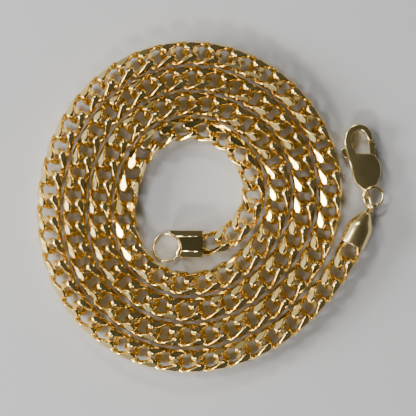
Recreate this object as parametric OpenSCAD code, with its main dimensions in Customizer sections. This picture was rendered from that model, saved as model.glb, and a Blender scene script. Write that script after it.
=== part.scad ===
/* [Links] */
// distance from one link to the next
pitch = 4.535; // [4:0.005:5]
// number of links in the whole chain
link_count = 126; // [100:1:127]
// links in the outer node, the rest are in the inner one
outer_links = 63; // [40:1:90]
// distance of a bar's ends from the chain's middle line
bar_r = 1.88; // [1.6:0.01:2]
// distance of a leaf's side end from the chain's middle line
leaf_r = 2.02; // [1.8:0.01:2.1]
// distance of a bow's middle from the link's middle
bow_reach = 3.1; // [2.8:0.05:3.2]
// distance of a bar's end from the link's middle
bow_x = 2.7; // [2.4:0.05:2.9]
// turn of a bar's end around the chain, degrees
bow_turn = 60; // [50:1:75]
// distance of a leaf's side end from the link's middle
leaf_x = 0.45; // [0.3:0.05:1.2]
// turn of a leaf's side end, degrees
leaf_turn = 12; // [8:1:30]
// half width of a bar
bar_half = 0.68; // [0.5:0.01:0.8]
// half width of a bar's flat outer facet
leaf_half = 0.54; // [0.3:0.01:0.6]
// depth of a bar, outward and inward
bar_depth = 0.52; // [0.4:0.01:0.6]
// outward depth at a leaf's side end
leaf_depth = 0.64; // [0.5:0.01:0.8]
// depth of a bow towards the next big hole
bow_depth = 0.9; // [0.5:0.01:1]
// depth of a bow towards its own link's middle
bow_inner_depth = 0.42; // [0.3:0.01:0.6]
// half width of a bow
bow_half = 0.5; // [0.4:0.01:0.6]
// half width of a bow's flat end
bow_flat = 0.28; // [0.2:0.01:0.5]
// distance of the diamond-cut corner planes from the chain's middle
corner_reach = 2.33; // [2.2:0.01:2.5]
// distance of the side bevel planes from the chain's middle
bevel_reach = 2.3; // [2.2:0.01:2.5]
// tilt of the side bevel planes from upright, degrees
bevel_tilt = 20; // [10:1:30]
// half width of the chain
half_w = 2.4; // [2.2:0.01:2.5]
// half height of the chain
half_h = 2.25; // [2.1:0.01:2.5]

/* [Spiral] */
// radius where the spiral starts
coil_r = 32.7; // [30:0.05:36]
// inward step of one turn
turn_step = 5.13; // [5:0.01:5.6]
// outer end of the spiral, degrees from the right-hand side, clockwise
start_angle = 15.6; // [10:0.1:20]
// most roll of the strand near its inner end, degrees
end_roll = 28; // [0:1:30]
// links over which the strand rolls and comes back
roll_links = 16; // [8:1:20]

/* [End caps] */
// half width of the inner cap
inner_cap_half = 2.7; // [2.6:0.01:2.8]
// half width of the inner cap's flat faces
inner_cap_flat = 1.47; // [1.2:0.01:1.8]
// length of the inner cap, from its mouth to the tip beside the end ring
inner_cap_len = 6.7; // [5:0.1:7.2]
// depth of the inner cap's hollow
inner_cap_hollow = 3.7; // [3:0.1:3.8]
// clearance of the inner cap's round cut-out around the end ring
scoop_play = 0.13; // [0.1:0.01:0.3]
// half width of the outer cap
outer_cap_half = 2.62; // [2.55:0.01:2.8]
// radius of the outer cap's long edges
outer_cap_edge = 1.9; // [0.8:0.05:2.4]
// length of the outer cap
outer_cap_len = 7.2; // [6:0.1:8]
// wall of both caps
cap_wall = 0.25; // [0.2:0.01:0.4]
// radius of the bar that holds the last link inside a cap
keeper_r = 0.26; // [0.2:0.01:0.4]
// distance of that bar from the cap's mouth
keeper_in = 0.3; // [0.3:0.01:0.6]
// how far the middle of the last link lies outside the cap's mouth
link_out = 1.8; // [1.5:0.05:2]
// outer radius of the eyelet strips
eyelet_r = 0.8; // [0.7:0.01:1]
// hole radius of the eyelet strips
eyelet_hole = 0.52; // [0.4:0.01:0.6]
// width of the inner cap's eyelet strip
inner_eyelet_w = 1.8; // [1:0.1:2.4]
// width of the outer cap's eyelet strip
outer_eyelet_w = 0.7; // [0.6:0.1:1.6]

/* [Rings] */
// wire radius of the end ring
end_wire = 0.22; // [0.18:0.01:0.3]
// radius of the end ring to the middle of its wire
end_ring_r = 2.73; // [2.4:0.01:3]
// wire radius of the jump rings
jump_wire = 0.27; // [0.18:0.01:0.3]
// radius of the jump ring at the clasp
clasp_ring_r = 1.817; // [1.6:0.001:2.2]
// radius of the jump ring at the cap
cap_ring_r = 1.97; // [1.8:0.01:2.4]

/* [Clasp] */
// thickness of the clasp
clasp_t = 2.6; // [2.2:0.1:3]
// thickness of each cheek
cheek_t = 0.65; // [0.5:0.05:0.8]
// play on each side of the lever
lever_play = 0.1; // [0.08:0.01:0.2]
// radius of the rivet
rivet_r = 0.35; // [0.3:0.01:0.4]
// running clearance of the lever on the rivet
rivet_play = 0.05; // [0.02:0.01:0.1]
// radius of the lever's hub
hub_r = 0.66; // [0.55:0.01:0.8]
// outer radius of the tail eye
tail_r = 0.88; // [0.8:0.01:1]
// hole radius of the tail eye
tail_hole = 0.52; // [0.4:0.01:0.6]
// thickness of the tail eye
tail_t = 0.5; // [0.4:0.05:0.8]

/* [Hidden] */
gold = [0.85, 0.64, 0.25];

// middle of the box around the necklace, from the coil's middle
mid_x = 3.2866;
mid_y = -1.2718;

// shape of the coil: amounts by which it differs from a true spiral
oval_c = -0.72;
oval_s = -0.48;
tri_c = 0.36;
drift_c = -0.12;
drift_s = -0.24;
flare = 0.96;
flare_end = 44.3;
flare_span = 28.7;
hook_in = 1.9;
hook_start = 1425;
hook_span = 93;
hook_power = 2.3;

function flare_add(t) = t < flare_end ? flare * pow((flare_end - t) / flare_span, 2) : 0;
function hook_add(t) = t > hook_start ? hook_in * pow((t - hook_start) / hook_span, hook_power) : 0;
function coil(t) = coil_r - turn_step * t / 360 + oval_c * cos(2 * t) + oval_s * sin(2 * t)
    + tri_c * cos(3 * t) + (drift_c * cos(t) + drift_s * sin(t)) * t / 1440
    + flare_add(t) - hook_add(t);
function coil_slope(t) = (coil(t + 0.05) - coil(t - 0.05)) * 10 * 180 / PI;
function speed(t) = sqrt(pow(coil(t), 2) + pow(coil_slope(t), 2));
function degrees(a) = a * 180 / PI;
function chord(t) = pitch * (1 + pow(pitch / coil(t), 2) / 24);
function half_step(t, m) = t + degrees(pitch / 2 / speed((t + m) / 2));
function step_mid(t) = half_step(t, t + degrees(pitch / 2 / speed(t)));
function next_angle(t) = t + degrees(chord(step_mid(t)) / speed(step_mid(t)));
function walk(t, n) = n == 1 ? [t] : concat([t], walk(next_angle(t), n - 1));

function coil_at(t) = [coil(t) * cos(t) - mid_x, -coil(t) * sin(t) - mid_y];
function heading(t) = atan2(-coil_slope(t) * sin(t) - coil(t) * cos(t),
                            coil_slope(t) * cos(t) - coil(t) * sin(t));

first_angle = start_angle + degrees(link_out / speed(start_angle + 1.4));
link_angles = walk(first_angle, link_count);

function roll_part(i) = max(0, (i - (link_count - 1 - roll_links)) / roll_links);
function link_roll(i) = end_roll * pow(sin(180 * roll_part(i)), 2);
outer_dir = 65.2;
last_dir = -172;
last_shift = [-0.1, 0.2];
function link_at(i) = coil_at(link_angles[i]) + (i == link_count - 1 ? last_shift : [0, 0]);
function link_heading(i) = i == 0 ? outer_dir - 180
    : i == link_count - 1 ? last_dir
    : heading(link_angles[i]);
last_at = coil_at(link_angles[link_count - 1]);
first_at = coil_at(link_angles[0]);

// rings: [x, y, z, lean, turn], lean from flat and the way it leans
end_ring_at = [-5.56 - mid_x, -9.42 - mid_y, 0.62, -8, -15.3];
clasp_ring_at = [34.899 - mid_x, -0.507 - mid_y, 2.046, 75.2, -165.3];
cap_ring_at = [35.871 - mid_x, 0.766 - mid_y, 2.491, 21.1, -63.6];

// one link: two bars that wind half way round the chain, joined by two slanted bows
station_turn = [-bow_turn, -leaf_turn, leaf_turn, bow_turn];
station_x = [-bow_x, -leaf_x, leaf_x, bow_x];
station_r = [bar_r, leaf_r, leaf_r, bar_r];
station_depth = [bar_depth, leaf_depth, leaf_depth, bar_depth];
function bar_station(side, k) = [
    [station_x[k], -side * station_r[k] * cos(station_turn[k]),
     side * station_r[k] * sin(station_turn[k])],
    [0, -side, side * sign(station_turn[k])] / sqrt(2),
    bar_half, leaf_half, station_depth[k], bar_depth];
function bow_station(side) = [[side * bow_reach, 0, 0], [side, 0, 0],
                              bow_half, bow_flat, bow_depth, bow_inner_depth];
stations = concat([for (k = [0:3]) bar_station(1, k)], [bow_station(1)],
                  [for (k = [3:-1:0]) bar_station(-1, k)], [bow_station(-1)]);
n_st = len(stations);
n_side = 6;

function unit(v) = v / norm(v);
function st_pos(i) = stations[(i + n_st) % n_st][0];
function st_way(i) = unit(unit(st_pos(i + 1) - st_pos(i)) + unit(st_pos(i) - st_pos(i - 1)));
function st_out(i) = unit(stations[i][1] - st_way(i) * (stations[i][1] * st_way(i)));

// diamond cut: moves a point back onto the corner planes, the side bevels and the flat sides
function plane_cut(v, turn, reach) =
    v - [0, sign(v[1]) * cos(turn), sign(v[2]) * sin(turn)]
        * max(0, abs(v[1]) * cos(turn) + abs(v[2]) * sin(turn) - reach);
function side_cut(v) = [v[0], sign(v[1]) * min(abs(v[1]), half_w), sign(v[2]) * min(abs(v[2]), half_h)];
function cut(v) = side_cut(plane_cut(plane_cut(v, 45, corner_reach), bevel_tilt, bevel_reach));

function ring_of(i, out, aside, s) =
    [for (c = [[s[4], s[3]], [0, s[2]], [-s[5], 0.8 * s[3]],
               [-s[5], -0.8 * s[3]], [0, -s[2]], [s[4], -s[3]]])
        cut(st_pos(i) + out * c[0] + aside * c[1])];
link_rings = [for (i = [0:n_st - 1]) ring_of(i, st_out(i), cross(st_way(i), st_out(i)), stations[i])];
link_points = [for (r = link_rings) for (p = r) p];
function vertex(i, j) = (i % n_st) * n_side + j % n_side;
link_faces = [for (i = [0:n_st - 1]) for (j = [0:n_side - 1])
    for (f = [[vertex(i, j), vertex(i, j + 1), vertex(i + 1, j + 1)],
              [vertex(i, j), vertex(i + 1, j + 1), vertex(i + 1, j)]]) f];

// height of a link's middle when it lies on the table
function lie(roll) = -min([for (p = link_points) p[1] * sin(roll) + p[2] * cos(roll)]);
rise_links = 5;
function blend(a, b, f) = a + (b - a) * max(0, min(1, f));
function link_z(i) = i < link_count / 2
    ? blend(outer_cap_half, lie(0), i / rise_links)
    : blend(inner_cap_half, lie(link_roll(i)), (link_count - 1 - i) / rise_links);

module link() {
    polyhedron(points = link_points, faces = link_faces);
}

module links(first, last) {
    for (i = [first:last])
        translate([link_at(i)[0], link_at(i)[1], link_z(i)])
            rotate([0, 0, link_heading(i)])
                rotate([link_roll(i), 0, 0])
                    link();
}

module chain_outer() {
    color(gold) links(0, outer_links - 1);
}

module chain_inner() {
    color(gold) links(outer_links, link_count - 1);
}

// cap profiles, drawn across the cap's length
module octagon(half, flat) {
    polygon([[half, -flat], [half, flat], [flat, half], [-flat, half],
             [-half, flat], [-half, -flat], [-flat, -half], [flat, -half]]);
}

module soft_square(half, edge) {
    square([2 * half, 2 * (half - edge)], center = true);
    square([2 * (half - edge), 2 * half], center = true);
    for (a = [-1, 1])
        for (b = [-1, 1])
            translate([a * (half - edge), b * (half - edge)])
                circle(r = edge, $fn = 48);
}

module along_x(len) {
    rotate([90, 0, 90])
        linear_extrude(height = len)
            children();
}

// bar across the mouth, through the last link
module keeper(half, tilt) {
    translate([keeper_in, 0, 0])
        rotate([90 + tilt, 0, 0])
            cylinder(h = 2 * half, r = keeper_r, center = true, $fn = 24);
}

module eyelet(width) {
    rotate([90, 0, 0])
        cylinder(h = width, r = eyelet_r, center = true, $fn = 48);
}

module eyelet_bore(width) {
    rotate([90, 0, 0])
        cylinder(h = width + 1, r = eyelet_hole, center = true, $fn = 48);
}

// inner cap: chamfered square tube, its eyelet low on the closed end
inner_mouth = [last_at[0] - link_out, last_at[1]];
inner_eyelet_turn = -15.3;
inner_eyelet_z = 1.0;
inner_eyelet_x = inner_mouth[0] - end_ring_at[0] - end_ring_r * cos(inner_eyelet_turn);
inner_eyelet_y = inner_mouth[1] - end_ring_at[1] - end_ring_r * sin(inner_eyelet_turn);

// round cut-out in the closed end, in which the end ring lies
scoop_x = inner_mouth[0] - end_ring_at[0];
scoop_y = inner_mouth[1] - end_ring_at[1];
scoop_r = end_ring_r + end_wire + scoop_play;

module inner_end_cap() {
    color(gold)
        translate([inner_mouth[0], inner_mouth[1], inner_cap_half])
            rotate([0, 0, 180])
                difference() {
                    union() {
                        difference() {
                            along_x(inner_cap_len)
                                octagon(inner_cap_half, inner_cap_flat);
                            translate([-1, 0, 0])
                                along_x(inner_cap_hollow + 1)
                                    octagon(inner_cap_half - cap_wall, inner_cap_flat - 0.1);
                            translate([scoop_x, scoop_y, -inner_cap_half - 1])
                                cylinder(h = 2 * inner_cap_half + 2, r = scoop_r, $fn = 96);
                        }
                        keeper(inner_cap_half - 0.1, 0);
                        translate([inner_eyelet_x, inner_eyelet_y, inner_eyelet_z - inner_cap_half])
                            rotate([0, 0, inner_eyelet_turn])
                                eyelet(inner_eyelet_w);
                    }
                    translate([inner_eyelet_x, inner_eyelet_y, inner_eyelet_z - inner_cap_half])
                        rotate([0, 0, inner_eyelet_turn])
                            eyelet_bore(inner_eyelet_w);
                }
}

// outer cap: tube with soft edges that narrows like a bell to its closed end
outer_mouth = [first_at[0] + link_out * cos(outer_dir), first_at[1] + link_out * sin(outer_dir)];
outer_eyelet_x = 8.58;
outer_eyelet_z = 2.0;
bell = [[0, 3.6], [1.6, 3.2], [2.8, 2.95], [3.6, 2.74], [4.3, 2.48], [4.9, 2.18], [5.5, 1.82],
        [6.1, 1.48], [6.6, 1.18], [6.95, 0.88], [7.13, 0.58], [7.2, 0.3]];
outer_cap_hollow = 3.0;
foot_in = 0.8;
foot_h = 0.5;
foot_rise = 0.38;

module bell_form() {
    rotate([0, 90, 0])
        rotate_extrude($fn = 96)
            polygon(concat([[0, -1], [bell[0][1], -1]], [for (b = bell) [b[1], b[0]]], [[0, outer_cap_len]]));
}

module outer_foot() {
    translate([outer_cap_len - foot_in, -outer_eyelet_w / 2,
               outer_eyelet_z - outer_cap_half + foot_rise - foot_h / 2])
        cube([outer_eyelet_x - eyelet_hole - outer_cap_len + foot_in, outer_eyelet_w, foot_h]);
}

module outer_end_cap() {
    color(gold)
        translate([outer_mouth[0], outer_mouth[1], outer_cap_half])
            rotate([0, 0, outer_dir])
                difference() {
                    union() {
                        difference() {
                            intersection() {
                                along_x(outer_cap_len)
                                    soft_square(outer_cap_half, outer_cap_edge);
                                bell_form();
                            }
                            translate([-1, 0, 0])
                                along_x(outer_cap_hollow + 1)
                                    soft_square(outer_cap_half - cap_wall, outer_cap_edge - cap_wall);
                        }
                        keeper(outer_cap_half - 0.1, 0);
                        translate([outer_eyelet_x, 0, outer_eyelet_z - outer_cap_half])
                            eyelet(outer_eyelet_w);
                        outer_foot();
                    }
                    translate([outer_eyelet_x, 0, outer_eyelet_z - outer_cap_half])
                        eyelet_bore(outer_eyelet_w);
                }
}

module wire_ring(at, radius, wire) {
    translate([at[0], at[1], at[2]])
        rotate([0, 0, at[4]])
            rotate([0, at[3], 0])
                rotate_extrude($fn = 72)
                    translate([radius, 0])
                        circle(r = wire, $fn = 24);
}

module end_ring() {
    color(gold) wire_ring(end_ring_at, end_ring_r, end_wire);
}

module jump_ring_clasp() {
    color(gold) wire_ring(clasp_ring_at, clasp_ring_r, jump_wire);
}

module jump_ring_cap() {
    color(gold) wire_ring(cap_ring_at, cap_ring_r, jump_wire);
}

// clasp, drawn from its rivet, [x, y] of the corners of its outline
clasp_x = 35.66 - mid_x;
clasp_y = 8.74 - mid_y;
hook_outside = [[0.04, 3.22], [0.02, 4.2], [-0.3, 5.2], [-1.0, 6.0], [-1.9, 6.48], [-2.8, 6.6],
                [-3.8, 6.4], [-4.7, 5.8], [-5.34, 4.8], [-5.6, 3.7], [-5.58, 2.7],
                [-5.38, 1.8], [-5.14, 0.8], [-4.86, -0.4], [-4.36, -2.0], [-3.92, -4.0],
                [-3.38, -5.26], [-2.52, -6.06], [-1.78, -6.66]];
body_right = [[-0.3, -6.7], [0.3, -6.04], [0.94, -5.36], [1.54, -4.12], [1.7, -2.72],
              [1.54, -1.44], [1.06, -0.36], [0.6, 0.3], [0, 0.66]];
loop_inside = [[-3.2, 0.8], [-3.82, 1.8], [-4.14, 2.62], [-4.24, 3.7], [-3.94, 4.64],
               [-3.3, 5.18], [-2.74, 5.34], [-2.06, 5.2], [-1.5, 4.72], [-1.1, 4.0],
               [-0.84, 3.22]];
tail_x = -1.26;
tail_y = -7.5;
tail_z = 1.905;
slot_top = 2.1;

module clasp_outline() {
    polygon(concat(hook_outside, body_right, loop_inside));
}

module slot_outline() {
    polygon([[-8, slot_top], [-8, -3.2], [-6.5, -2.95], [-0.8, -1.12], [4, -1.12], [4, slot_top]]);
}

module clasp_body() {
    color(gold)
        translate([clasp_x, clasp_y, 0])
            difference() {
                union() {
                    difference() {
                        linear_extrude(height = clasp_t)
                            clasp_outline();
                        translate([0, 0, cheek_t])
                            linear_extrude(height = clasp_t - 2 * cheek_t)
                                slot_outline();
                    }
                    cylinder(h = clasp_t, r = rivet_r, $fn = 32);
                    translate([tail_x, tail_y, tail_z - tail_t / 2])
                        cylinder(h = tail_t, r = tail_r, $fn = 48);
                    translate([tail_x - 0.5, tail_y, tail_z - tail_t / 2])
                        cube([1, 2, tail_t]);
                }
                translate([tail_x, tail_y, -1])
                    cylinder(h = clasp_t + 2, r = tail_hole, $fn = 48);
            }
}

// lever: gate with two ridges on the right, thumb nub on the left, one arm through the slot
gate_outline = [[-0.84, 3.0], [-0.3, 3.1], [0.1, 3.08], [0.4, 2.92], [0.66, 2.74], [0.7, 2.32],
                [0.46, 2.12], [0.46, 1.9], [0.76, 1.7], [0.78, 1.26], [0.6, 1.0],
                [0.84, 0.5], [0, 0], [-1.0, -0.42], [-4.5, -0.26], [-5.2, -0.22],
                [-5.72, 0.06], [-6.08, 0.62], [-6.32, 1.24], [-6.24, 1.56], [-5.9, 1.72],
                [-5.55, 1.88], [-5.1, 1.92], [-4.7, 1.4], [-4.5, 0.56], [-0.5, 0.56]];

lever_t = clasp_t - 2 * cheek_t - 2 * lever_play;

module clasp_lever() {
    color(gold)
        translate([clasp_x, clasp_y, cheek_t + lever_play])
            difference() {
                union() {
                    linear_extrude(height = lever_t)
                        polygon(gate_outline);
                    cylinder(h = lever_t, r = hub_r, $fn = 48);
                }
                translate([0, 0, -1])
                    cylinder(h = clasp_t, r = rivet_r + rivet_play, $fn = 48);
            }
}

chain_outer();
chain_inner();
outer_end_cap();
inner_end_cap();
end_ring();
jump_ring_clasp();
jump_ring_cap();
clasp_body();
clasp_lever();
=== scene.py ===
"""Franco chain necklace lying in a flat coil, seen from straight above."""

import math

import bmesh
import bpy
import numpy as np
from mathutils import Matrix, Vector


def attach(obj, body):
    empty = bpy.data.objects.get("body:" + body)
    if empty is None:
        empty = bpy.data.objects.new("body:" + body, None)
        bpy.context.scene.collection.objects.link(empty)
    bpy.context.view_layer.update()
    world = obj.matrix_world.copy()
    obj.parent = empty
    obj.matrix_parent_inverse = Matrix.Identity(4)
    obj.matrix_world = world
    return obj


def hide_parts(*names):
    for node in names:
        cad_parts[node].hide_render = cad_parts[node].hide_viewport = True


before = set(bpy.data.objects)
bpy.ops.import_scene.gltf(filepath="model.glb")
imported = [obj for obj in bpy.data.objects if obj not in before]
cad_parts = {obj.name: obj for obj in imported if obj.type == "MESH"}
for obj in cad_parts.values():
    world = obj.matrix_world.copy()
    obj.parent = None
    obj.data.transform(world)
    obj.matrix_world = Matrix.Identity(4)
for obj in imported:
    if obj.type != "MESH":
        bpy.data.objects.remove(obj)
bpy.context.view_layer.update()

MM = 0.001
# middle of the box around the necklace, from the coil's middle, in mm
MID_X, MID_Y = 3.2866, -1.2718

# ---- camera: straight down, 83.2 mm wide at the height of the strand's middle ----
# middle of the picture, from the coil's middle, in mm
VIEW_X, VIEW_Y = 2.76, -1.46
VIEW_WIDTH = 83.2
CAMERA_HEIGHT = 600.0
STRAND_MIDDLE = 2.6
cam_data = bpy.data.cameras.new("camera")
cam_data.sensor_width = 36.0
cam_data.lens = 36.0 * CAMERA_HEIGHT / VIEW_WIDTH
cam_data.clip_start = 0.05
cam_data.clip_end = 20.0
camera = bpy.data.objects.new("camera", cam_data)
bpy.context.scene.collection.objects.link(camera)
camera.location = ((VIEW_X - MID_X) * MM, (VIEW_Y - MID_Y) * MM,
                   (CAMERA_HEIGHT + STRAND_MIDDLE) * MM)
camera.rotation_euler = (0.0, 0.0, 0.0)
bpy.context.scene.camera = camera


# ---- materials ----
def cutter_lines(tree, place, fine, bump):
    """Fine lines along the links' leaves, about six to the millimetre."""
    stretch = tree.nodes.new("ShaderNodeMapping")
    stretch.inputs["Scale"].default_value = (0.25, 5.5, 1.0)
    tree.links.new(place.outputs["UV"], stretch.inputs["Vector"])
    tree.links.new(stretch.outputs["Vector"], fine.inputs["Vector"])
    fine.inputs["Scale"].default_value = 1.0
    bump.inputs["Distance"].default_value = 0.000018


def gold(name, light, deep, rough_low, rough_high, grain, scratch, cutter=False):
    """Polished gold: two close tones in soft patches, uneven polish and fine scratches.

    With cutter, the scratches run along the links' leaves, as a diamond cutter leaves them.
    """
    mat = bpy.data.materials.new(name)
    mat.use_nodes = True
    tree = mat.node_tree
    shader = tree.nodes["Principled BSDF"]
    shader.inputs["Metallic"].default_value = 1.0
    place = tree.nodes.new("ShaderNodeTexCoord")
    patches = tree.nodes.new("ShaderNodeTexNoise")
    patches.inputs["Scale"].default_value = grain
    patches.inputs["Detail"].default_value = 3.0
    tree.links.new(place.outputs["Object"], patches.inputs["Vector"])
    tones = tree.nodes.new("ShaderNodeValToRGB")
    tones.color_ramp.elements[0].position = 0.35
    tones.color_ramp.elements[0].color = (*deep, 1.0)
    tones.color_ramp.elements[1].position = 0.65
    tones.color_ramp.elements[1].color = (*light, 1.0)
    tree.links.new(patches.outputs["Fac"], tones.inputs["Fac"])
    tree.links.new(tones.outputs["Color"], shader.inputs["Base Color"])
    polish = tree.nodes.new("ShaderNodeMapRange")
    polish.inputs["From Min"].default_value = 0.3
    polish.inputs["From Max"].default_value = 0.7
    polish.inputs["To Min"].default_value = rough_low
    polish.inputs["To Max"].default_value = rough_high
    tree.links.new(patches.outputs["Fac"], polish.inputs["Value"])
    tree.links.new(polish.outputs["Result"], shader.inputs["Roughness"])
    fine = tree.nodes.new("ShaderNodeTexNoise")
    fine.inputs["Detail"].default_value = 2.0
    bump = tree.nodes.new("ShaderNodeBump")
    bump.inputs["Strength"].default_value = scratch
    if cutter:
        cutter_lines(tree, place, fine, bump)
    else:
        tree.links.new(place.outputs["Object"], fine.inputs["Vector"])
        fine.inputs["Scale"].default_value = grain * 9.0
        bump.inputs["Distance"].default_value = 0.00002
    tree.links.new(fine.outputs["Fac"], bump.inputs["Height"])
    tree.links.new(bump.outputs["Normal"], shader.inputs["Normal"])
    return mat


# tones, lowest and highest roughness, patch scale, scratch strength
LINK_GOLD = gold("link_gold", (1.0, 0.79, 0.34), (0.95, 0.70, 0.24), 0.05, 0.13, 260.0, 0.9, True)
CAP_GOLD = gold("cap_gold", (0.98, 0.79, 0.38), (0.92, 0.72, 0.31), 0.22, 0.30, 180.0, 0.06)
BRIGHT_CAP_GOLD = gold("bright_cap_gold", (0.98, 0.78, 0.36), (0.92, 0.71, 0.29), 0.08, 0.14, 180.0, 0.05)
RING_GOLD = gold("ring_gold", (1.0, 0.80, 0.42), (0.96, 0.74, 0.34), 0.12, 0.20, 220.0, 0.04)
CLASP_GOLD = gold("clasp_gold", (0.98, 0.80, 0.40), (0.92, 0.73, 0.33), 0.20, 0.28, 150.0, 0.05)


# ---- mesh helpers, all sizes in mm until make() ----
def make(name, points, faces, material, smooth=None):
    """Object of these points and faces; every face is smooth unless smooth says otherwise."""
    mesh = bpy.data.meshes.new(name)
    mesh.from_pydata([tuple(c * MM for c in p) for p in points], [], faces)
    if smooth is None:
        smooth = [True] * len(faces)
    mesh.polygons.foreach_set("use_smooth", smooth)
    mesh.materials.append(material)
    mesh.update()
    made = bpy.data.objects.new(name, mesh)
    bpy.context.scene.collection.objects.link(made)
    return made


def finish_piece(piece, body, node):
    """Ties the visual piece to its body and hides the CAD node that it stands for."""
    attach(piece, body)
    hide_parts(node)


def tube(rings):
    """Closed skin over rings of the same number of points; both ends are closed."""
    count = len(rings[0])
    points = [p for ring in rings for p in ring]
    faces = []
    for i in range(len(rings) - 1):
        for j in range(count):
            k = (j + 1) % count
            faces.append((i * count + j, i * count + k, (i + 1) * count + k, (i + 1) * count + j))
    faces.append(tuple(reversed(range(count))))
    faces.append(tuple((len(rings) - 1) * count + j for j in range(count)))
    return points, faces


def join(parts):
    """Several solids as one list of points, faces and smooth marks."""
    points, faces, smooth = [], [], []
    for part in parts:
        base = len(points)
        points += list(part[0])
        faces += [tuple(base + i for i in f) for f in part[1]]
        smooth += list(part[2]) if len(part) > 2 else [True] * len(part[1])
    return points, faces, smooth


def moved(part, matrix):
    """The same solid after the move."""
    return ([matrix @ Vector(p) for p in part[0]],) + tuple(part[1:])


def bevelled(points, faces, width, segments=3, angle=25.0):
    """Rounds the sharp edges of a closed solid; its flat faces stay flat."""
    bm = bmesh.new()
    verts = [bm.verts.new(p) for p in points]
    for f in faces:
        bm.faces.new([verts[i] for i in f])
    bmesh.ops.recalc_face_normals(bm, faces=bm.faces)
    flats = {f for f in bm.faces}
    sharp = [e for e in bm.edges if e.calc_face_angle(0.0) > math.radians(angle)]
    bmesh.ops.bevel(bm, geom=sharp, offset=width, segments=segments, profile=0.5,
                    affect="EDGES", clamp_overlap=True)
    bm.normal_update()
    bm.verts.index_update()
    out = [tuple(v.co) for v in bm.verts]
    made = [tuple(v.index for v in f.verts) for f in bm.faces]
    smooth = [f not in flats for f in bm.faces]
    bm.free()
    return out, made, smooth


def outline_solid(name, loops, thickness, round_by):
    """Flat shape with holes, rounded along its outer edges, from z = 0 up."""
    curve = bpy.data.curves.new(name + "_outline", "CURVE")
    curve.dimensions = "2D"
    curve.fill_mode = "BOTH"
    curve.extrude = thickness / 2 - round_by
    curve.bevel_depth = round_by
    curve.bevel_resolution = 3
    curve.offset = -round_by
    for loop in loops:
        spline = curve.splines.new("POLY")
        spline.points.add(len(loop) - 1)
        for point, (x, y) in zip(spline.points, loop):
            point.co = (x, y, 0.0, 1.0)
        spline.use_cyclic_u = True
    holder = bpy.data.objects.new(name + "_outline", curve)
    bpy.context.scene.collection.objects.link(holder)
    bpy.context.view_layer.update()
    mesh = bpy.data.meshes.new_from_object(holder.evaluated_get(bpy.context.evaluated_depsgraph_get()))
    bm = bmesh.new()
    bm.from_mesh(mesh)
    bmesh.ops.remove_doubles(bm, verts=bm.verts, dist=0.002)
    bmesh.ops.recalc_face_normals(bm, faces=bm.faces)
    bm.verts.index_update()
    points = [(v.co.x, v.co.y, v.co.z + thickness / 2) for v in bm.verts]
    faces = [tuple(v.index for v in f.verts) for f in bm.faces]
    smooth = [abs(f.normal.z) < 0.999 for f in bm.faces]
    bm.free()
    bpy.data.objects.remove(holder)
    bpy.data.curves.remove(curve)
    bpy.data.meshes.remove(mesh)
    return points, faces, smooth


def smoothed(points, steps=5):
    """Closed curve through the points."""
    out = []
    n = len(points)
    for i in range(n):
        p0, p1, p2, p3 = (points[(i + k) % n] for k in (-1, 0, 1, 2))
        for s in range(steps):
            t = s / steps
            out.append(tuple(
                0.5 * (2 * p1[k] + (p2[k] - p0[k]) * t
                       + (2 * p0[k] - 5 * p1[k] + 4 * p2[k] - p3[k]) * t * t
                       + (3 * p1[k] - p0[k] - 3 * p2[k] + p3[k]) * t ** 3)
                for k in (0, 1)))
    return out


def open_smoothed(points, steps=4):
    """Open curve through the points."""
    ends = [tuple(2 * a - b for a, b in zip(points[0], points[1]))]
    tails = [tuple(2 * a - b for a, b in zip(points[-1], points[-2]))]
    ring = ends + list(points) + tails
    closed = smoothed(ring, steps)
    return closed[steps:steps * (len(points))] + [tuple(points[-1])]


def carved(name, solid, tool, material):
    """The solid less the tool."""
    base = make(name, *solid[:2], material)
    cutter = make(name + "_cutter", *tool[:2], material)
    for part in (base, cutter):
        bm = bmesh.new()
        bm.from_mesh(part.data)
        bmesh.ops.recalc_face_normals(bm, faces=bm.faces)
        bm.to_mesh(part.data)
        bm.free()
    cut = base.modifiers.new("cut", "BOOLEAN")
    cut.operation = "DIFFERENCE"
    cut.solver = "EXACT"
    cut.object = cutter
    bpy.context.view_layer.update()
    mesh = bpy.data.meshes.new_from_object(base.evaluated_get(bpy.context.evaluated_depsgraph_get()))
    points = [tuple(v.co / MM) for v in mesh.vertices]
    faces = [tuple(p.vertices) for p in mesh.polygons]
    for part in (base, cutter):
        bpy.data.objects.remove(part)
    return points, faces


def shaded(points, faces):
    """Marks faces that lie level as flat; the rest is smooth."""
    smooth = []
    for f in faces:
        a, b, c = (Vector(points[i]) for i in f[:3])
        n = (b - a).cross(c - a)
        smooth.append(not (n.length > 0 and abs(n.normalized().z) > 0.99995))
    return points, faces, smooth


def angled(points, faces, area=0.6):
    """Marks the large faces of a bevelled solid as flat; the narrow ones stay smooth."""
    smooth = []
    for f in faces:
        p = [Vector(points[i]) for i in f]
        spread = sum(((p[k] - p[0]).cross(p[k + 1] - p[0]) for k in range(1, len(p) - 1)), Vector())
        smooth.append(spread.length / 2 < area)
    return points, faces, smooth


# ---- the coil: the same formulas as the CAD part's ----
PITCH = 4.535
LINK_COUNT = 126
OUTER_LINKS = 63
BAR_R = 1.88
BOW_REACH = 3.1
BOW_X = 2.7
BOW_TURN = 60.0
BAR_HALF = 0.68
BAR_DEPTH = 0.52
BOW_HALF = 0.5
CORNER_REACH = 2.33
HALF_W = 2.4
HALF_H = 2.25
COIL_R = 32.7
TURN_STEP = 5.13
START_ANGLE = 15.6
END_ROLL = 28.0
ROLL_LINKS = 16
LINK_OUT = 1.8
OUTER_DIR = 65.2
LAST_DIR = -172.0
LAST_SHIFT = (-0.1, 0.2)
RISE_LINKS = 5
INNER_CAP_HALF = 2.7
OUTER_CAP_HALF = 2.62
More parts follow.
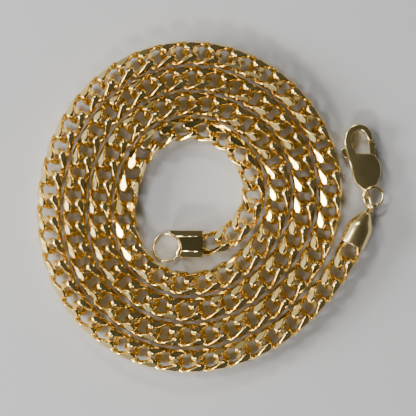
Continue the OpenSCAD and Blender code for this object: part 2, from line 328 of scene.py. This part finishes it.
# waves of the coil's radius: once a turn and fading in inwards, twice and three times a turn
WAVE_1 = (0.12, 0.24)
WAVE_2 = (0.72, 0.48)
WAVE_3 = 0.36
# where each end leaves the even coil, over how many degrees, and how far it goes
FLARE_FROM, FLARE_SPAN, FLARE_OUT = 44.3, 28.7, 0.96
PULL_FROM, PULL_SPAN, PULL_IN = 1425, 93, 1.9


def cosd(a):
    return math.cos(math.radians(a))


def sind(a):
    return math.sin(math.radians(a))


def coil(t):
    """Radius of the strand's middle line, t degrees clockwise from the right."""
    r = COIL_R - TURN_STEP * t / 360 - WAVE_2[0] * cosd(2 * t) - WAVE_2[1] * sind(2 * t)
    r += WAVE_3 * cosd(3 * t)
    r += (-WAVE_1[0] * cosd(t) - WAVE_1[1] * sind(t)) * t / 1440
    if t < FLARE_FROM:
        r += FLARE_OUT * ((FLARE_FROM - t) / FLARE_SPAN) ** 2
    if t > PULL_FROM:
        r -= PULL_IN * ((t - PULL_FROM) / PULL_SPAN) ** 2.3
    return r


def coil_slope(t):
    """Change of that radius for each radian."""
    return (coil(t + 0.05) - coil(t - 0.05)) * 10 * 180 / math.pi


def speed(t):
    """Length of strand for each radian."""
    return math.hypot(coil(t), coil_slope(t))


def next_angle(t):
    """Angle of the next link, one pitch along the strand."""
    mid = t + math.degrees(PITCH / 2 / speed(t))
    mid = t + math.degrees(PITCH / 2 / speed((t + mid) / 2))
    chord = PITCH * (1 + (PITCH / coil(mid)) ** 2 / 24)
    return t + math.degrees(chord / speed(mid))


def coil_at(t):
    """The strand's middle line from above, in the shared frame."""
    return coil(t) * cosd(t) - MID_X, -coil(t) * sind(t) - MID_Y


def heading(t):
    """Direction of the strand from above, in degrees."""
    return math.degrees(math.atan2(-coil_slope(t) * sind(t) - coil(t) * cosd(t),
                                   coil_slope(t) * cosd(t) - coil(t) * sind(t)))


angles = [START_ANGLE + math.degrees(LINK_OUT / speed(START_ANGLE + 1.4))]
while len(angles) < LINK_COUNT:
    angles.append(next_angle(angles[-1]))


def link_roll(i):
    """Roll of the strand near its inner end."""
    part = max(0.0, (i - (LINK_COUNT - 1 - ROLL_LINKS)) / ROLL_LINKS)
    return END_ROLL * sind(180 * part) ** 2


# ---- one link: two bars winding half way round the strand, joined by two slanted bows ----
LEAF_X = 0.45
LEAF_TURN = 12.0
LEAF_R = 2.02
LEAF_DEPTH = 1.0
LEAF_HALF = 0.80
BOW_DEPTH = 0.9
BOW_INNER_DEPTH = 0.42
BEVEL_TILT = 20.0
BEVEL_REACH = 2.3
LEAF_TILT = 6.0
LINK_SIDES = 18
LINK_POWER = 0.8
# direction of the cutter's lines over a leaf
CUT_ALONG, CUT_ASIDE = 0.8, 0.6


def link_corners():
    """Middle, outward direction, half width, outer and inner depth at the link's ten corners."""
    out = []
    for side in (1, -1):
        stops = [(-BOW_X, -BOW_TURN, BAR_R), (-LEAF_X, -LEAF_TURN, LEAF_R),
                 (LEAF_X, LEAF_TURN, LEAF_R), (BOW_X, BOW_TURN, BAR_R)]
        for x, turn, r in stops if side == 1 else reversed(stops):
            tilt = math.copysign(1.0, turn)
            out.append((Vector((x, -side * r * cosd(turn), side * r * sind(turn))),
                        Vector((0.0, -side, side * tilt)).normalized(),
                        LEAF_HALF if abs(turn) == LEAF_TURN else BAR_HALF, LEAF_DEPTH, BAR_DEPTH))
        out.append((Vector((side * BOW_REACH, 0.0, 0.0)), Vector((side, 0.0, 0.0)),
                    BOW_HALF, BOW_DEPTH, BOW_INNER_DEPTH))
    return out


def link_stations(count=64, spread=0.22):
    """The same all round the link, in even steps with the corners rounded off."""
    corners = link_corners()
    n = len(corners)
    lengths = [(corners[(i + 1) % n][0] - corners[i][0]).length for i in range(n)]
    whole = sum(lengths)
    fine = 512
    rows = []
    for k in range(fine):
        d = whole * k / fine
        i = 0
        while d > lengths[i]:
            d -= lengths[i]
            i += 1
        f = d / lengths[i]
        a, b = corners[i], corners[(i + 1) % n]
        rows.append([*(a[0].lerp(b[0], f)), *(a[1].lerp(b[1], f))]
                    + [a[m] + (b[m] - a[m]) * f for m in (2, 3, 4)])
    rows = np.array(rows)
    offsets = (np.arange(fine) + fine // 2) % fine - fine // 2
    kernel = np.exp(-0.5 * (offsets * whole / fine / spread) ** 2)
    kernel /= kernel.sum()
    soft = np.real(np.fft.ifft(np.fft.fft(rows, axis=0) * np.fft.fft(kernel)[:, None], axis=0))
    out = []
    for k in range(count):
        row = soft[k * fine // count]
        out.append((Vector(row[:3]), Vector(row[3:6]).normalized(), *row[6:9]))
    return out


def link_template():
    """One link lying along X: a closed loop, cut flat on the strand's sides and corners."""
    stations = link_stations()
    n, sides = len(stations), LINK_SIDES
    bm = bmesh.new()
    rings = []
    for i in range(n):
        p, o, half, depth, inner = stations[i]
        way = (stations[(i + 1) % n][0] - stations[i - 1][0]).normalized()
        o = (o - way * o.dot(way)).normalized()
        aside = way.cross(o)
        ring = []
        for j in range(sides):
            a = 2 * math.pi * (j + 0.5) / sides
            c, s = math.cos(a), math.sin(a)
            up = math.copysign(abs(c) ** LINK_POWER, c) * (depth if c > 0 else inner)
            over = math.copysign(abs(s) ** LINK_POWER, s) * half
            ring.append(bm.verts.new(p + o * up + aside * over))
        rings.append(ring)
    for i in range(n):
        for j in range(sides):
            k = (j + 1) % sides
            bm.faces.new((rings[i][j], rings[i][k], rings[(i + 1) % n][k], rings[(i + 1) % n][j]))
    bmesh.ops.recalc_face_normals(bm, faces=bm.faces)
    cuts = [(Vector((0, y * cosd(45 + LEAF_TILT), z * sind(45 + LEAF_TILT))),
             CORNER_REACH * cosd(LEAF_TILT)) for y in (-1, 1) for z in (-1, 1)]
    cuts += [(Vector((0, y * cosd(BEVEL_TILT), z * sind(BEVEL_TILT))), BEVEL_REACH)
             for y in (-1, 1) for z in (-1, 1)]
    cuts += [(Vector((0, y, 0)), HALF_W) for y in (-1, 1)]
    cuts += [(Vector((0, 0, z)), HALF_H) for z in (-1, 1)]
    for face in bm.faces:
        face.smooth = True
    for normal, reach in cuts:
        bmesh.ops.bisect_plane(bm, geom=bm.verts[:] + bm.edges[:] + bm.faces[:], dist=1e-5,
                               plane_co=normal * reach, plane_no=normal, clear_outer=True)
        open_edges = [e for e in bm.edges if e.is_boundary]
        if open_edges:
            made = bmesh.ops.holes_fill(bm, edges=open_edges, sides=0)
            for face in made["faces"]:
                face.smooth = False
    bmesh.ops.recalc_face_normals(bm, faces=bm.faces)
    bm.verts.index_update()
    points = np.array([tuple(v.co) for v in bm.verts])
    faces = [tuple(v.index for v in f.verts) for f in bm.faces]
    smooth = [f.smooth for f in bm.faces]
    bm.free()
    return points, faces, smooth


link_points, link_faces, link_smooth = link_template()


def leaf_uv():
    """Place of each of the link's points along and across its leaves, in mm."""
    x, y, z = link_points.T
    arc = -np.arctan2(z * np.sign(y + 1e-9), np.abs(y)) * LEAF_R
    return np.stack([CUT_ALONG * x + CUT_ASIDE * arc, -CUT_ASIDE * x + CUT_ALONG * arc], axis=1)


def lie(roll):
    """Height of the strand's middle line where it lies on the table with this roll."""
    return -min(p[1] * sind(roll) + p[2] * cosd(roll) for p in link_points)


def link_z(i):
    """Height of a link: on the table, but level with the cap near each end."""
    if i < LINK_COUNT / 2:
        cap, rest, f = OUTER_CAP_HALF, lie(0.0), i / RISE_LINKS
    else:
        cap, rest, f = INNER_CAP_HALF, lie(link_roll(i)), (LINK_COUNT - 1 - i) / RISE_LINKS
    return cap + (rest - cap) * max(0.0, min(1.0, f))


def link_matrix(i):
    x, y = coil_at(angles[i])
    turn = heading(angles[i])
    if i == 0:
        turn = OUTER_DIR - 180
    if i == LINK_COUNT - 1:
        turn = LAST_DIR
        x, y = x + LAST_SHIFT[0], y + LAST_SHIFT[1]
    return (Matrix.Translation((x, y, link_z(i))) @ Matrix.Rotation(math.radians(turn), 4, "Z")
            @ Matrix.Rotation(math.radians(link_roll(i)), 4, "X"))


def links(name, first, last):
    """A run of links as one object."""
    count = len(link_points)
    points, faces = [], []
    for i in range(first, last + 1):
        m = np.array(link_matrix(i))
        base = (i - first) * count
        points.append(link_points @ m[:3, :3].T + m[:3, 3])
        faces += [tuple(base + k for k in f) for f in link_faces]
    points = np.vstack(points)
    strand = make(name, points.tolist(), faces, LINK_GOLD, link_smooth * (last - first + 1))
    corner = np.empty(len(strand.data.loops), dtype=int)
    strand.data.loops.foreach_get("vertex_index", corner)
    strand.data.uv_layers.new(name="leaf").uv.foreach_set("vector", leaf_uv()[corner % count].ravel())
    return strand


strand_outer = links("strand_outer", 0, OUTER_LINKS - 1)
finish_piece(strand_outer, "necklace", "chain_outer")
strand_inner = links("strand_inner", OUTER_LINKS, LINK_COUNT - 1)
finish_piece(strand_inner, "necklace", "chain_inner")


# ---- rings ----
def torus(at, radius, wire, lean, turn, around=112, section=20):
    """Ring that leans about its Y and is then turned about Z."""
    m = (Matrix.Translation(at) @ Matrix.Rotation(math.radians(turn), 4, "Z")
         @ Matrix.Rotation(math.radians(lean), 4, "Y"))
    points, faces = [], []
    for i in range(around):
        a = 2 * math.pi * i / around
        for j in range(section):
            b = 2 * math.pi * j / section
            r = radius + wire * math.cos(b)
            points.append(m @ Vector((r * math.cos(a), r * math.sin(a), wire * math.sin(b))))
    for i in range(around):
        for j in range(section):
            i2, j2 = (i + 1) % around, (j + 1) % section
            faces.append((i * section + j, i2 * section + j, i2 * section + j2, i * section + j2))
    return points, faces


END_WIRE = 0.22
JUMP_WIRE = 0.27
END_RING_R = 2.73
END_RING_AT = (-5.56 - MID_X, -9.42 - MID_Y, 0.62)
END_RING_LEAN = -8.0
END_RING_TURN = -15.3
big_ring = make("big_end_ring", *torus(END_RING_AT, END_RING_R, END_WIRE, END_RING_LEAN, END_RING_TURN,
                                       144, 24), RING_GOLD)
finish_piece(big_ring, "necklace", "end_ring")
clasp_ring = make("clasp_jump_ring", *torus((34.899 - MID_X, -0.507 - MID_Y, 2.046), 1.817, JUMP_WIRE,
                                            75.2, -165.3), RING_GOLD)
finish_piece(clasp_ring, "necklace", "jump_ring_clasp")
cap_ring = make("cap_jump_ring", *torus((35.871 - MID_X, 0.766 - MID_Y, 2.491), 1.97, JUMP_WIRE,
                                        21.1, -63.6), RING_GOLD)
finish_piece(cap_ring, "necklace", "jump_ring_cap")


# ---- end caps ----
CAP_WALL = 0.25
INNER_CAP_LEN = 6.7
INNER_CAP_FLAT = 1.47
INNER_CAP_HOLLOW = 3.7
INNER_CAP_BEVEL = 0.1
SCOOP_PLAY = 0.13
INNER_EYELET_W = 1.8
INNER_EYELET_Z = 1.0
OUTER_EYELET_X = 8.58
OUTER_EYELET_W = 0.7
OUTER_EYELET_Z = 2.0
FOOT_X = 6.4
FOOT_RISE = 0.38
FOOT_HALF_W = 0.3
FOOT_HALF_H = 0.25
KEEPER_R = 0.26
KEEPER_IN = 0.3
EYELET_R = 0.8
EYELET_HOLE = 0.52


def octagon(half, flat, x, high=0.25):
    """Chamfered square, its upper chamfers a little nearer to level than 45 degrees."""
    return [(x, a, b) for a, b in
            ((half, -flat), (half, flat + high), (flat, half), (-flat, half),
             (-half, flat + high), (-half, -flat), (-flat, -half), (flat, -half))]


def cylinder(a, b, radius, sides=24):
    """Round bar from a to b with chamfered ends."""
    a, b = Vector(a), Vector(b)
    way = (b - a).normalized()
    first = way.orthogonal().normalized()
    second = way.cross(first)
    rings = []
    chamfer = way * 0.05
    for end, r in ((a, radius * 0.7), (a + chamfer, radius), (b - chamfer, radius), (b, radius * 0.7)):
        rings.append([end + first * r * math.cos(2 * math.pi * k / sides)
                      + second * r * math.sin(2 * math.pi * k / sides) for k in range(sides)])
    return tube(rings)


def keeper(half):
    """Upright bar that holds the last link in a cap's mouth."""
    return cylinder((KEEPER_IN, 0, -half + 0.12), (KEEPER_IN, 0, half - 0.12), KEEPER_R)


def eyelet(width, rounding=0.09, sides=48):
    """Short tube along Y with rounded rims."""
    profile = [(EYELET_HOLE, -1, 1), (EYELET_HOLE, 1, -1), (EYELET_R, 1, 1), (EYELET_R, -1, -1)]
    path = []
    for r, end, order in profile:
        inward = 1 if r == EYELET_HOLE else -1
        arc = []
        for k in range(4):
            a = math.pi / 2 * k / 3
            arc.append((r + inward * rounding * (1 - math.cos(a)),
                        end * (width / 2 - rounding * (1 - math.sin(a)))))
        path += arc if end == inward else arc[::-1]
    points, faces = [], []
    n = len(path)
    for i in range(sides):
        a = 2 * math.pi * i / sides
        for r, y in path:
            points.append((r * math.cos(a), y, r * math.sin(a)))
    for i in range(sides):
        i2 = (i + 1) % sides
        for j in range(n):
            j2 = (j + 1) % n
            faces.append((i * n + j, i * n + j2, i2 * n + j2, i2 * n + j))
    return points, faces


# inner cap: chamfered square tube, its closed end cut out round the end ring
last_at = coil_at(angles[-1])
mouth = (last_at[0] - LINK_OUT, last_at[1])
shell = [octagon(INNER_CAP_HALF - CAP_WALL, INNER_CAP_FLAT - 0.1, INNER_CAP_HOLLOW),
         octagon(INNER_CAP_HALF - CAP_WALL, INNER_CAP_FLAT - 0.1, 0.0),
         octagon(INNER_CAP_HALF, INNER_CAP_FLAT, 0.0),
         octagon(INNER_CAP_HALF, INNER_CAP_FLAT, INNER_CAP_LEN)]
scoop = (mouth[0] - END_RING_AT[0], mouth[1] - END_RING_AT[1])
scoop_r = END_RING_R + END_WIRE + SCOOP_PLAY
scoop_tool = tube([[(scoop[0] + scoop_r * cosd(a), scoop[1] + scoop_r * sind(a), z)
                    for a in np.arange(0, 360, 2.5)] for z in (-4, 4)])
scooped = carved("cap_cut", bevelled(*tube(shell), INNER_CAP_BEVEL), scoop_tool, CAP_GOLD)
cap_matrix = Matrix.Translation((mouth[0], mouth[1], INNER_CAP_HALF)) @ Matrix.Rotation(math.pi, 4, "Z")
eyelet_turn = math.radians(END_RING_TURN)
ring_edge = (END_RING_AT[0] + END_RING_R * math.cos(eyelet_turn),
             END_RING_AT[1] + END_RING_R * math.sin(eyelet_turn))
strip_matrix = (Matrix.Translation((mouth[0] - ring_edge[0], mouth[1] - ring_edge[1],
                                    INNER_EYELET_Z - INNER_CAP_HALF))
                @ Matrix.Rotation(eyelet_turn, 4, "Z"))
inner_parts = join([angled(*scooped), keeper(INNER_CAP_HALF), moved(eyelet(INNER_EYELET_W), strip_matrix)])
inner_parts = moved(inner_parts, cap_matrix)
inner_cap = make("square_end_cap", *inner_parts[:2], BRIGHT_CAP_GOLD, inner_parts[2])
finish_piece(inner_cap, "necklace", "inner_end_cap")


# outer cap: soft square tube that narrows like a bell to its closed end
BELL = [(0.0, 3.6), (1.6, 3.2), (2.8, 2.95), (3.6, 2.74), (4.3, 2.48), (4.9, 2.18), (5.5, 1.82),
        (6.1, 1.48), (6.6, 1.18), (6.95, 0.88), (7.13, 0.58), (7.2, 0.2)]


def soft_ring(x, half, reach=99.0, power=2.5, sides=96):
    """Soft square of this half width at x, nowhere further than reach from the axis."""
    ring = []
    for k in range(sides):
        a = 2 * math.pi * k / sides
        r = half * (abs(math.cos(a)) ** power + abs(math.sin(a)) ** power) ** (-1 / power)
        r = (r ** -14 + reach ** -14) ** (-1 / 14)
        ring.append((x, r * math.cos(a), r * math.sin(a)))
    return ring


first_at = coil_at(angles[0])
outer_mouth = (first_at[0] + LINK_OUT * cosd(OUTER_DIR), first_at[1] + LINK_OUT * sind(OUTER_DIR))
inside = OUTER_CAP_HALF - CAP_WALL
skin = [soft_ring(x, inside) for x in (3.0, 2.0, 1.0, 0.06)]
skin += [soft_ring(0.0, inside + 0.06), soft_ring(0.0, OUTER_CAP_HALF - 0.07),
         soft_ring(0.03, OUTER_CAP_HALF - 0.02), soft_ring(0.09, OUTER_CAP_HALF)]
skin += [soft_ring(x, OUTER_CAP_HALF, r) for x, r in open_smoothed(BELL, 5)[2:]]
outer_matrix = (Matrix.Translation((outer_mouth[0], outer_mouth[1], OUTER_CAP_HALF))
                @ Matrix.Rotation(math.radians(OUTER_DIR), 4, "Z"))
eyelet_z = OUTER_EYELET_Z - OUTER_CAP_HALF
foot_z = eyelet_z + FOOT_RISE
foot = [[(x, y, foot_z + z) for y, z in ((-FOOT_HALF_W, -FOOT_HALF_H), (FOOT_HALF_W, -FOOT_HALF_H),
                                         (FOOT_HALF_W, FOOT_HALF_H), (-FOOT_HALF_W, FOOT_HALF_H))]
        for x in (FOOT_X, OUTER_EYELET_X - EYELET_HOLE - 0.06)]
outer_parts = join([tube(skin), keeper(OUTER_CAP_HALF),
                    moved(eyelet(OUTER_EYELET_W), Matrix.Translation((OUTER_EYELET_X, 0, eyelet_z))),
                    bevelled(*tube(foot), 0.08, 2)])
outer_parts = moved(outer_parts, outer_matrix)
outer_cap = make("domed_end_cap", *outer_parts[:2], CAP_GOLD, outer_parts[2])
finish_piece(outer_cap, "necklace", "outer_end_cap")

# ---- clasp ----
CLASP_T = 2.6
CHEEK_T = 0.65
LEVER_PLAY = 0.1
BODY_ROUND = 0.3
LEVER_ROUND = 0.16
RIVET_R = 0.35
RIVET_HOLE = 0.4
CLASP = Matrix.Translation((35.66 - MID_X, 8.74 - MID_Y, 0.0))
HOOK_OUTSIDE = [(0.04, 3.22), (0.02, 4.2), (-0.3, 5.2), (-1.0, 6.0), (-1.9, 6.48), (-2.8, 6.6),
                (-3.8, 6.4), (-4.7, 5.8), (-5.34, 4.8), (-5.6, 3.7), (-5.58, 2.7),
                (-5.38, 1.8), (-5.14, 0.8), (-4.86, -0.4), (-4.36, -2.0), (-3.92, -4.0),
                (-3.38, -5.26), (-2.52, -6.06), (-1.78, -6.66)]
BODY_RIGHT = [(-0.3, -6.7), (0.3, -6.04), (0.94, -5.36), (1.54, -4.12), (1.7, -2.72),
              (1.54, -1.44), (1.06, -0.36), (0.6, 0.3), (0, 0.66)]
LOOP_INSIDE = [(-3.2, 0.8), (-3.82, 1.8), (-4.14, 2.62), (-4.24, 3.7), (-3.94, 4.64),
               (-3.3, 5.18), (-2.74, 5.34), (-2.06, 5.2), (-1.5, 4.72), (-1.1, 4.0),
               (-0.84, 3.22)]


clasp_loop = open_smoothed(HOOK_OUTSIDE) + open_smoothed(BODY_RIGHT) + open_smoothed(LOOP_INSIDE)


def domed(points, faces):
    """Faces of the clasp's lower part, made very slightly convex across."""
    bm = bmesh.new()
    verts = [bm.verts.new(p) for p in points]
    for f in faces:
        bm.faces.new([verts[i] for i in f])
    for k in range(-19, 8):
        for normal, at in ((Vector((1, 0, 0)), (k * 0.3, 0, 0)), (Vector((0, 1, 0)), (0, k * 0.35, 0))):
            if at[1] < 2.0:
                bmesh.ops.bisect_plane(bm, geom=bm.verts[:] + bm.edges[:] + bm.faces[:], dist=1e-4,
                                       plane_co=at, plane_no=normal)
    for v in bm.verts:
        x, y, z = v.co
        fade = max(0.0, min(1.0, (1.6 - y) / 2.0))
        sink = 0.16 * fade * ((x + 1.35) / 3.0) ** 2
        v.co.z = z - sink * (z / CLASP_T * 2 - 1)
    bm.verts.index_update()
    out = [tuple(v.co) for v in bm.verts]
    made = [tuple(v.index for v in f.verts) for f in bm.faces]
    bm.free()
    return out, made


body_solid = domed(*outline_solid("clasp_body_shape", [clasp_loop], CLASP_T, BODY_ROUND)[:2])
slot_low = [(-8, 2.1), (-8, -3.2), (-6.5, -2.95), (-0.8, -1.12), (4, -1.12), (4, 2.1)]
slot_tool = tube([[(x, y, z) for x, y in slot_low] for z in (CHEEK_T, CLASP_T - CHEEK_T)])
tail = (-1.26, -7.5, 1.905)
tail_ring = moved(eyelet(0.5, 0.12), Matrix.Translation(tail) @ Matrix.Rotation(math.pi / 2, 4, "X"))
neck_sides = [(-1.74, 1.68), (-0.78, 1.68), (-0.78, 2.13), (-1.74, 2.13)]
neck = [[(x, y, z) for x, z in neck_sides] for y in (-6.95, -5.8)]
clasp_parts = join([shaded(*carved("clasp_cut", body_solid, slot_tool, CLASP_GOLD)),
                    cylinder((0, 0, 0.1), (0, 0, CLASP_T - 0.1), RIVET_R, 32),
                    tail_ring,
                    bevelled(*tube(neck), 0.12, 2)])
clasp_parts = moved(clasp_parts, CLASP)
clasp = make("lobster_clasp", *clasp_parts[:2], CLASP_GOLD, clasp_parts[2])
finish_piece(clasp, "necklace", "clasp_body")

# the lever's outline: gate, thumb side of the rivet, arm and thumb piece
GATE = [(-0.84, 3.0), (-0.3, 3.1), (0.1, 3.08), (0.4, 2.92), (0.66, 2.74), (0.7, 2.32),
        (0.46, 2.12), (0.46, 1.9), (0.76, 1.7), (0.78, 1.26), (0.6, 1.0), (0.84, 0.5)]
GATE += [(0.66 * cosd(a), 0.66 * sind(a)) for a in range(24, -158, -13)]
GATE += [(-1.0, -0.42), (-4.5, -0.26), (-5.2, -0.22), (-5.72, 0.06), (-6.08, 0.62), (-6.32, 1.24),
         (-6.24, 1.56), (-5.9, 1.72), (-5.55, 1.88), (-5.1, 1.92), (-4.7, 1.4), (-4.5, 0.56),
         (-0.5, 0.56)]
LEVER_T = CLASP_T - 2 * CHEEK_T - 2 * LEVER_PLAY
rivet_hole = [(RIVET_HOLE * cosd(a), RIVET_HOLE * sind(a)) for a in range(0, 360, 10)]
lever_solid = outline_solid("lever_shape", [GATE, rivet_hole], LEVER_T, LEVER_ROUND)
lever_solid = moved(lever_solid, CLASP @ Matrix.Translation((0, 0, CHEEK_T + LEVER_PLAY)))
lever = make("clasp_gate", *lever_solid[:2], CLASP_GOLD, lever_solid[2])
finish_piece(lever, "lever", "clasp_lever")

# ---- floor, light and surroundings ----
floor_mesh = bpy.data.meshes.new("floor")
floor_mesh.from_pydata([(-2, -2, 0), (2, -2, 0), (2, 2, 0), (-2, 2, 0)], [], [(0, 1, 2, 3)])
floor = bpy.data.objects.new("floor", floor_mesh)
floor.location.z = -0.00002
floor_mat = bpy.data.materials.new("floor")
floor_mat.use_nodes = True
floor_shader = floor_mat.node_tree.nodes["Principled BSDF"]
floor_shader.inputs["Base Color"].default_value = (0.52, 0.52, 0.53, 1.0)
floor_shader.inputs["Roughness"].default_value = 0.9
floor_mesh.materials.append(floor_mat)
bpy.context.scene.collection.objects.link(floor)


def softbox(name, place, size_x, size_y, power):
    """Rectangular lamp that faces the middle of the necklace; metres and watts."""
    data = bpy.data.lights.new(name, "AREA")
    data.shape = "RECTANGLE"
    data.size = size_x
    data.size_y = size_y
    data.energy = power
    data.color = (1.0, 0.98, 0.95)
    made = bpy.data.objects.new(name, data)
    made.location = place
    made.rotation_euler = (-Vector(place)).to_track_quat("-Z", "Y").to_euler()
    bpy.context.scene.collection.objects.link(made)


softbox("light_left", (-0.50, -0.04, 0.20), 0.30, 0.16, 4.6)
softbox("light_back", (-0.12, 0.42, 0.36), 0.14, 0.06, 1.2)
softbox("light_front", (-0.18, -0.42, 0.34), 0.20, 0.08, 2.0)
softbox("light_high", (-0.34, 0.16, 0.50), 0.10, 0.10, 1.0)

# room: dim, a little lighter low down and towards the left
world = bpy.data.worlds.new("world")
world.use_nodes = True
tree = world.node_tree
back = tree.nodes["Background"]
where = tree.nodes.new("ShaderNodeTexCoord")
split = tree.nodes.new("ShaderNodeSeparateXYZ")
tree.links.new(where.outputs["Generated"], split.inputs["Vector"])
sky = tree.nodes.new("ShaderNodeValToRGB")
sky.color_ramp.elements[0].position = 0.0
sky.color_ramp.elements[0].color = (0.20, 0.20, 0.21, 1.0)
sky.color_ramp.elements[1].position = 0.75
sky.color_ramp.elements[1].color = (0.11, 0.11, 0.103, 1.0)
tree.links.new(split.outputs["Z"], sky.inputs["Fac"])
side = tree.nodes.new("ShaderNodeMapRange")
side.inputs["From Min"].default_value = -0.9
side.inputs["From Max"].default_value = -0.1
side.inputs["To Min"].default_value = 5.5
side.inputs["To Max"].default_value = 0.5
side.interpolation_type = "SMOOTHSTEP"
tree.links.new(split.outputs["X"], side.inputs["Value"])
tree.links.new(sky.outputs["Color"], back.inputs["Color"])
tree.links.new(side.outputs["Result"], back.inputs["Strength"])
bpy.context.scene.world = world
